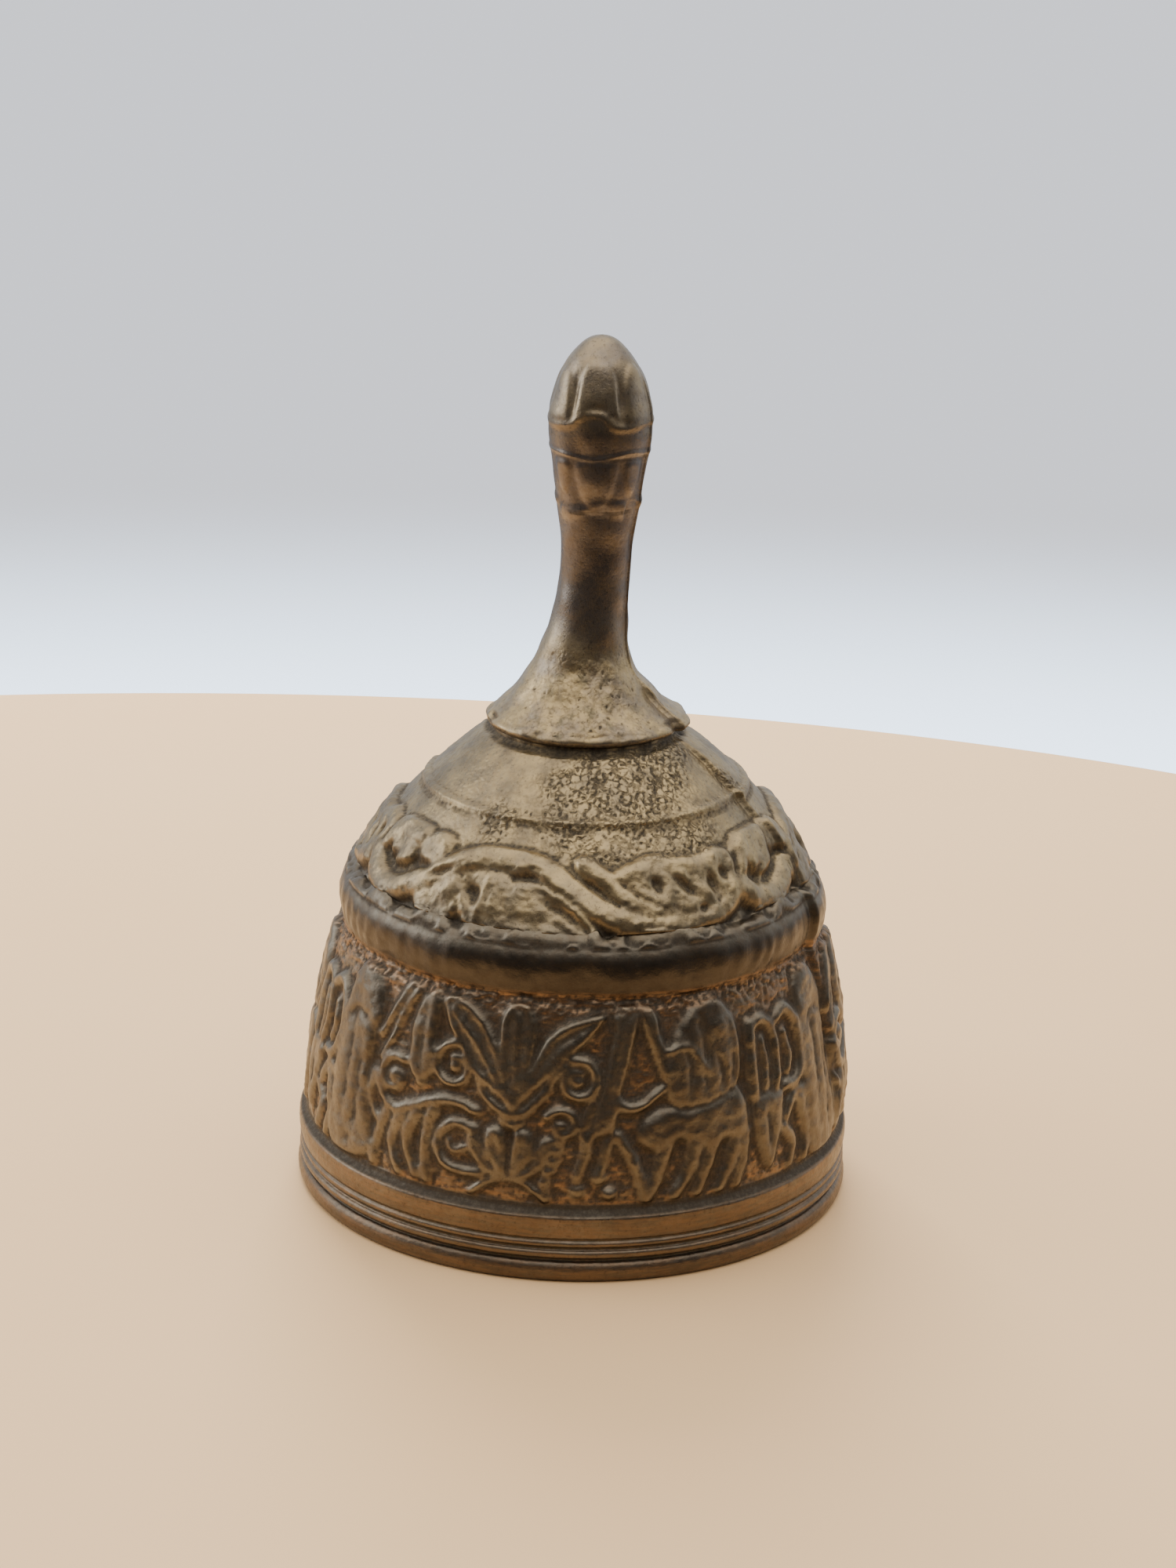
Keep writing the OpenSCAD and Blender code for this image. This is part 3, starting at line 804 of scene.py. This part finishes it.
# the colour of dirt in pits and hollows and of painted shade under edges and in creases
SHADE_AND_GRIME_BROWN = (0.052, 0.043, 0.033)
DIRT = (0.07, 0.06, 0.05)
BROWN_SHADE, BROWN_TINT = (0.126, 0.109, 0.086), (0.174, 0.154, 0.121)
GREY_SHADE, GREY_TINT = (0.145, 0.135, 0.145), (0.21, 0.2, 0.21)
TURNED_DULL, TURNED_BRIGHT, TURNED_SPOT = (0.3, 0.22, 0.12), (0.52, 0.41, 0.24), (0.1, 0.075, 0.05)
BLACK_IRON, RUST = (0.06, 0.055, 0.052), (0.19, 0.09, 0.045)
TABLE_SHADE, TABLE_TINT = (0.96, 0.63, 0.33), (0.97, 0.66, 0.36)


class Nodes:
    """A short way to write a material's nodes. An input is a value, or the output of another node."""

    def __init__(self, name):
        self.material = bpy.data.materials.new(name)
        self.material.use_nodes = True
        self.tree = self.material.node_tree
        self.tree.nodes.clear()
        self.place = self.add("ShaderNodeTexCoord").outputs["Object"]

    def add(self, kind, inputs=None, **settings):
        """A node of that kind, with its settings and its inputs."""
        node = self.tree.nodes.new(kind)
        for key, value in settings.items():
            setattr(node, key, value)
        for key, value in (inputs or {}).items():
            if isinstance(value, bpy.types.NodeSocket):
                self.tree.links.new(value, node.inputs[key])
            else:
                node.inputs[key].default_value = value
        return node

    def noise(self, size, detail=3.0, stretch=(1, 1, 1), roughness=0.55):
        """Noise from 0 to 1 whose lumps measure about size millimetres."""
        place = self.place
        if stretch != (1, 1, 1):
            place = self.add("ShaderNodeVectorMath", {0: place, 1: stretch}, operation="MULTIPLY").outputs[0]
        inputs = {"Vector": place, "Scale": 1 / (size * MM), "Detail": detail, "Roughness": roughness}
        return self.add("ShaderNodeTexNoise", inputs).outputs["Fac"]

    def cracks(self, size, width):
        """A net of dark lines round cells that measure about size millimetres."""
        inputs = {"Vector": self.place, "Scale": 1 / (0.6 * size * MM)}
        waver = self.add("ShaderNodeTexNoise", inputs).outputs["Color"]
        inputs = {0: waver, 1: (0.45 * size * MM,) * 3}
        waver = self.add("ShaderNodeVectorMath", inputs, operation="MULTIPLY").outputs[0]
        place = self.add("ShaderNodeVectorMath", {0: self.place, 1: waver}).outputs[0]
        edge = self.add("ShaderNodeTexVoronoi", {"Vector": place, "Scale": 1 / (size * MM)},
                        feature="DISTANCE_TO_EDGE").outputs["Distance"]
        return self.ramp(edge, width * 0.3, width, 1.0, 0.0)

    def ramp(self, value, low, high, to_low=0.0, to_high=1.0):
        """The value's range from low to high, stretched to run from to_low to to_high and held there."""
        inputs = {"Value": value, "From Min": low, "From Max": high, "To Min": to_low, "To Max": to_high}
        return self.add("ShaderNodeMapRange", inputs).outputs["Result"]

    def math(self, operation, a, b, clamp=False):
        """One sum with two numbers, held between 0 and 1 if clamp."""
        return self.add("ShaderNodeMath", {0: a, 1: b}, operation=operation, use_clamp=clamp).outputs[0]

    def mix(self, share, a, b):
        """A colour between a and b."""
        node = self.add("ShaderNodeMix", data_type="RGBA")
        for key, value in ((0, share), (6, a), (7, b)):
            if isinstance(value, bpy.types.NodeSocket):
                self.tree.links.new(value, node.inputs[key])
            else:
                node.inputs[key].default_value = value if key == 0 else (*value, 1)
        return node.outputs[2]

    def read(self, name):
        """A number that the mesh stores for each vertex."""
        return self.add("ShaderNodeAttribute", attribute_name=name).outputs["Fac"]

    def finish(self, color, roughness, metallic, bump, bump_height, strength, specular=0.5):
        """The finished material, with a fine bump that is bump_height millimetres high."""
        inputs = {"Height": bump, "Distance": bump_height * MM, "Strength": strength}
        normal = self.add("ShaderNodeBump", inputs)
        shader = self.add("ShaderNodeBsdfPrincipled", {
            "Base Color": color, "Roughness": roughness, "Metallic": metallic, "Normal": normal.outputs[0],
            "Specular IOR Level": specular})
        self.add("ShaderNodeOutputMaterial", {"Surface": shader.outputs[0]})
        return self.material


def cast_brass(name, shade, tint):
    """Old cast brass: a patina between shade and tint, dull in the hollows, rubbed on the high places. The
    hollows are partly dirt and partly painted shade, the dark bands are painted shade, the warm low bands
    are partly a painted reflection of the table, and the rubbed, gold front is partly a painted highlight.
    """
    n = Nodes(name)
    hollow, worn, warm, green, gold, pitted, dark = (n.read(k) for k in LOOKS)
    cloud = n.noise(7, 4)
    fleck = n.noise(1.1, 4, roughness=0.65)
    speck = n.noise(0.45, 3, roughness=0.7)
    streak = n.noise(0.5, 4, stretch=(0.14, 0.14, 1.3), roughness=0.65)
    color = n.mix(n.ramp(cloud, 0.35, 0.65), shade, tint)
    color = n.mix(n.math("MULTIPLY", n.ramp(fleck, 0.42, 0.62), 0.45), color, OXIDE)
    patches = n.ramp(n.noise(3.5, 5, roughness=0.62), 0.38, 0.6, 0.4, 1.1)
    # gold: a gold tone, partly a painted highlight on the shoulder's front
    color = n.mix(n.math("MULTIPLY", gold, patches, clamp=True), color, GILT_AND_HIGHLIGHT)
    # the dark look mixes in painted shade
    color = n.mix(dark, color, PAINTED_SHADE_BROWN)
    # warm: partly patina, partly a painted reflection of the table
    color = n.mix(n.math("MULTIPLY", warm, n.ramp(streak, 0.4, 0.6, 0.2, 0.95)), color, RED_BROWN)
    # worn: real rub, partly a painted highlight on the shoulder's front
    color = n.mix(n.math("MULTIPLY", worn, 0.4), color, RUBBED_BRASS_AND_HIGHLIGHT)
    tarnish = n.math("MULTIPLY", green, n.ramp(fleck, 0.4, 0.62), clamp=True)
    color = n.mix(tarnish, color, VERDIGRIS)
    net = n.math("MULTIPLY", n.cracks(0.85, 0.19), n.math("MULTIPLY", pitted, n.ramp(fleck, 0.36, 0.56)))
    # dirt in pits and grooves, together with painted shade in recesses and under edges
    grime_and_shade = n.math("MULTIPLY", n.math("MAXIMUM", hollow, net), n.ramp(speck, 0.3, 0.6, 0.55, 0.9),
                   clamp=True)
    color = n.mix(grime_and_shade, color, SHADE_AND_GRIME_BROWN)
    color = n.mix(n.math("MULTIPLY", n.ramp(speck, 0.56, 0.68), 0.5), color, DIRT)
    rough = n.ramp(fleck, 0.3, 0.7, 0.31, 0.43)
    rough = n.math("ADD", rough, n.math("MULTIPLY", grime_and_shade, 0.3))
    rough = n.math("SUBTRACT", rough, n.math("MULTIPLY", worn, 0.06))
    metal = n.math("SUBTRACT", 1.0, n.math("MULTIPLY", n.math("MAXIMUM", grime_and_shade, tarnish), 0.55))
    bump = n.math("ADD", n.noise(0.35, 4, roughness=0.7), n.math("MULTIPLY", fleck, 0.8))
    bump = n.math("SUBTRACT", bump, n.math("MULTIPLY", net, 1.5))
    return n.finish(color, rough, metal, bump, 0.06, 0.55, specular=0.15)


def worn_brass():
    """Turned brass, dulled by age, with fine lathe lines."""
    n = Nodes("worn_brass_turned")
    cloud = n.noise(3, 4)
    lines = n.noise(0.5, 2, stretch=(0.06, 0.06, 1))
    color = n.mix(n.ramp(cloud, 0.35, 0.65), TURNED_DULL, TURNED_BRIGHT)
    color = n.mix(n.math("MULTIPLY", n.ramp(n.noise(0.8, 4), 0.55, 0.7), 0.6), color, TURNED_SPOT)
    rough = n.ramp(lines, 0.3, 0.7, 0.3, 0.5)
    return n.finish(color, rough, 1.0, lines, 0.03, 0.5)


def dark_iron():
    """Black iron wire with a film of brown rust."""
    n = Nodes("dark_iron_wire")
    rust = n.ramp(n.noise(1.6, 5, roughness=0.65), 0.48, 0.66)
    color = n.mix(rust, BLACK_IRON, RUST)
    metal = n.math("SUBTRACT", 0.9, n.math("MULTIPLY", rust, 0.7))
    rough = n.ramp(rust, 0, 1, 0.45, 0.85)
    return n.finish(color, rough, metal, n.noise(0.4, 4, roughness=0.7), 0.06, 0.6)


def table_top():
    """The plain pale floor."""
    n = Nodes("pale_table")
    color = n.mix(n.noise(60, 2), TABLE_SHADE, TABLE_TINT)
    return n.finish(color, 0.55, 0.0, n.noise(2, 2), 0.01, 0.1)


# ---------------- the scene

CAMERA_PLACE = (0, -0.3987, 0.1773)
WHITE = (1, 1, 1)


def dress(node, material):
    """Gives a CAD node's object the material."""
    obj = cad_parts[node]
    for held in obj.material_slots:
        held.material = material
    if not obj.material_slots:
        obj.data.materials.append(material)


def make_camera():
    """The camera: 0.4 m in front and 0.18 m up, looking down on the bell, very slightly tilted."""
    yaw, pitch, tilt = (math.radians(a) for a in (0.104, 17.82, 1.68))
    ahead = Vector((math.sin(yaw) * math.cos(pitch), math.cos(yaw) * math.cos(pitch), -math.sin(pitch)))
    right = Vector((math.cos(yaw), -math.sin(yaw), 0))
    up = right.cross(ahead)
    x = math.cos(tilt) * right + math.sin(tilt) * up
    y = math.cos(tilt) * up - math.sin(tilt) * right
    data = bpy.data.cameras.new("camera")
    data.sensor_width = 36
    data.lens = 81
    data.clip_start = 0.01
    camera = bpy.data.objects.new("camera", data)
    turn = Matrix((x, y, -ahead)).transposed()
    camera.matrix_world = Matrix.Translation(CAMERA_PLACE) @ turn.to_4x4()
    bpy.context.scene.collection.objects.link(camera)
    bpy.context.scene.camera = camera


def make_table():
    """An oval pale table top. Its far edge shows behind the bell."""
    middle, half, sides = (-40, 44), (230, 156), 160
    a = np.arange(sides) * 2 * math.pi / sides
    ring = [((middle[0] + half[0] * math.cos(t)) * MM, (middle[1] + half[1] * math.sin(t)) * MM, 0)
            for t in a]
    mesh = bpy.data.meshes.new("table")
    mesh.from_pydata(ring, [], [tuple(range(sides))])
    table = bpy.data.objects.new("table", mesh)
    mesh.materials.append(table_top())
    bpy.context.scene.collection.objects.link(table)


def area_light(name, place, target, size, power, color):
    """A square light that faces the target."""
    data = bpy.data.lights.new(name, "AREA")
    data.size = size
    data.energy = power
    data.color = color
    light = bpy.data.objects.new(name, data)
    light.location = place
    light.rotation_euler = (Vector(target) - Vector(place)).to_track_quat("-Z", "Y").to_euler()
    bpy.context.scene.collection.objects.link(light)
    return light


def make_light():
    """A pale backdrop for the camera, and round the bell a sky that is bright behind and above and dark
    in front, with a fill light behind and a panel on the left."""
    world = bpy.data.worlds.new("studio")
    bpy.context.scene.world = world
    world.use_nodes = True
    tree = world.node_tree
    tree.nodes.clear()
    make = tree.nodes.new
    join = tree.links.new
    place = make("ShaderNodeTexCoord")
    split = make("ShaderNodeSeparateXYZ")
    join(place.outputs["Generated"], split.inputs[0])

    def blend(axis, low, high, stops):
        """Colours that follow one axis of the direction from low to high. The ends come first in stops."""
        reach = make("ShaderNodeMapRange")
        reach.interpolation_type = "SMOOTHSTEP"
        reach.inputs["From Min"].default_value = low
        reach.inputs["From Max"].default_value = high
        join(split.outputs[axis], reach.inputs[0])
        node = make("ShaderNodeValToRGB")
        ramp = node.color_ramp
        for k, (at, color) in enumerate(stops):
            stop = ramp.elements[k] if k < 2 else ramp.elements.new(at)
            stop.position = at
            stop.color = (*color, 1)
        join(reach.outputs[0], node.inputs[0])
        return node.outputs[0]

    def combine(kind, a, b):
        """The two colours combined in full."""
        node = make("ShaderNodeMix")
        node.data_type = "RGBA"
        node.blend_type = kind
        node.inputs[0].default_value = 1
        join(a, node.inputs[6])
        join(b, node.inputs[7])
        return node.outputs[2]

    def background(color, strength):
        """Light of that colour from every direction."""
        node = make("ShaderNodeBackground")
        join(color, node.inputs[0])
        node.inputs[1].default_value = strength
        return node.outputs[0]

    glow = blend("Y", -0.6, 1, [(0.0, (0.13, 0.118, 0.11)), (1.0, (0.95, 0.97, 1.0)),
                                (0.3, (0.5, 0.5, 0.5)), (0.5, (0.95, 0.96, 0.97))])
    overhead = blend("Z", 0.45, 0.8, [(0.0, (0, 0, 0)), (1.0, (1.75, 1.66, 1.54))])
    low_dim = blend("Z", -0.3, 0.15, [(0.0, (0.38, 0.4, 0.44)), (1.0, WHITE)])
    backdrop = blend("Z", -0.3, -0.225, [(0.0, (0.95, 1.15, 1.4)), (1.0, (0.36, 0.37, 0.4))])
    sky = combine("MULTIPLY", combine("LIGHTEN", glow, overhead), low_dim)
    path = make("ShaderNodeLightPath")
    pick = make("ShaderNodeMixShader")
    join(path.outputs["Is Camera Ray"], pick.inputs[0])
    join(background(sky, 1.0), pick.inputs[1])
    join(background(backdrop, 2.9), pick.inputs[2])
    output = make("ShaderNodeOutputWorld")
    join(pick.outputs[0], output.inputs[0])
    fill = area_light("back_fill", (-0.1, 0.6, 0.42), (0, 0, 0), 0.4, 6.5, (1, 0.99, 0.97))
    fill.visible_glossy = False
    area_light("left_panel", (-0.55, 0.05, 0.25), (0, 0, 0.05), 0.4, 1.2, WHITE)


make_camera()
make_light()
make_table()
turned_brass = worn_brass()
wire = dark_iron()
# Both patinas carry painted shade; the shell's also a painted highlight and a painted reflection.
build_shell().data.materials.append(cast_brass("brown_patina_and_painted_light", BROWN_SHADE, BROWN_TINT))
build_handle().data.materials.append(cast_brass("grey_patina_and_painted_shade", GREY_SHADE, GREY_TINT))
for node in ("crown_washer", "lock_nut", "clapper_ball"):
    dress(node, turned_brass)
for node in ("eye_bolt", "hanger_link", "clapper_rod"):
    dress(node, wire)
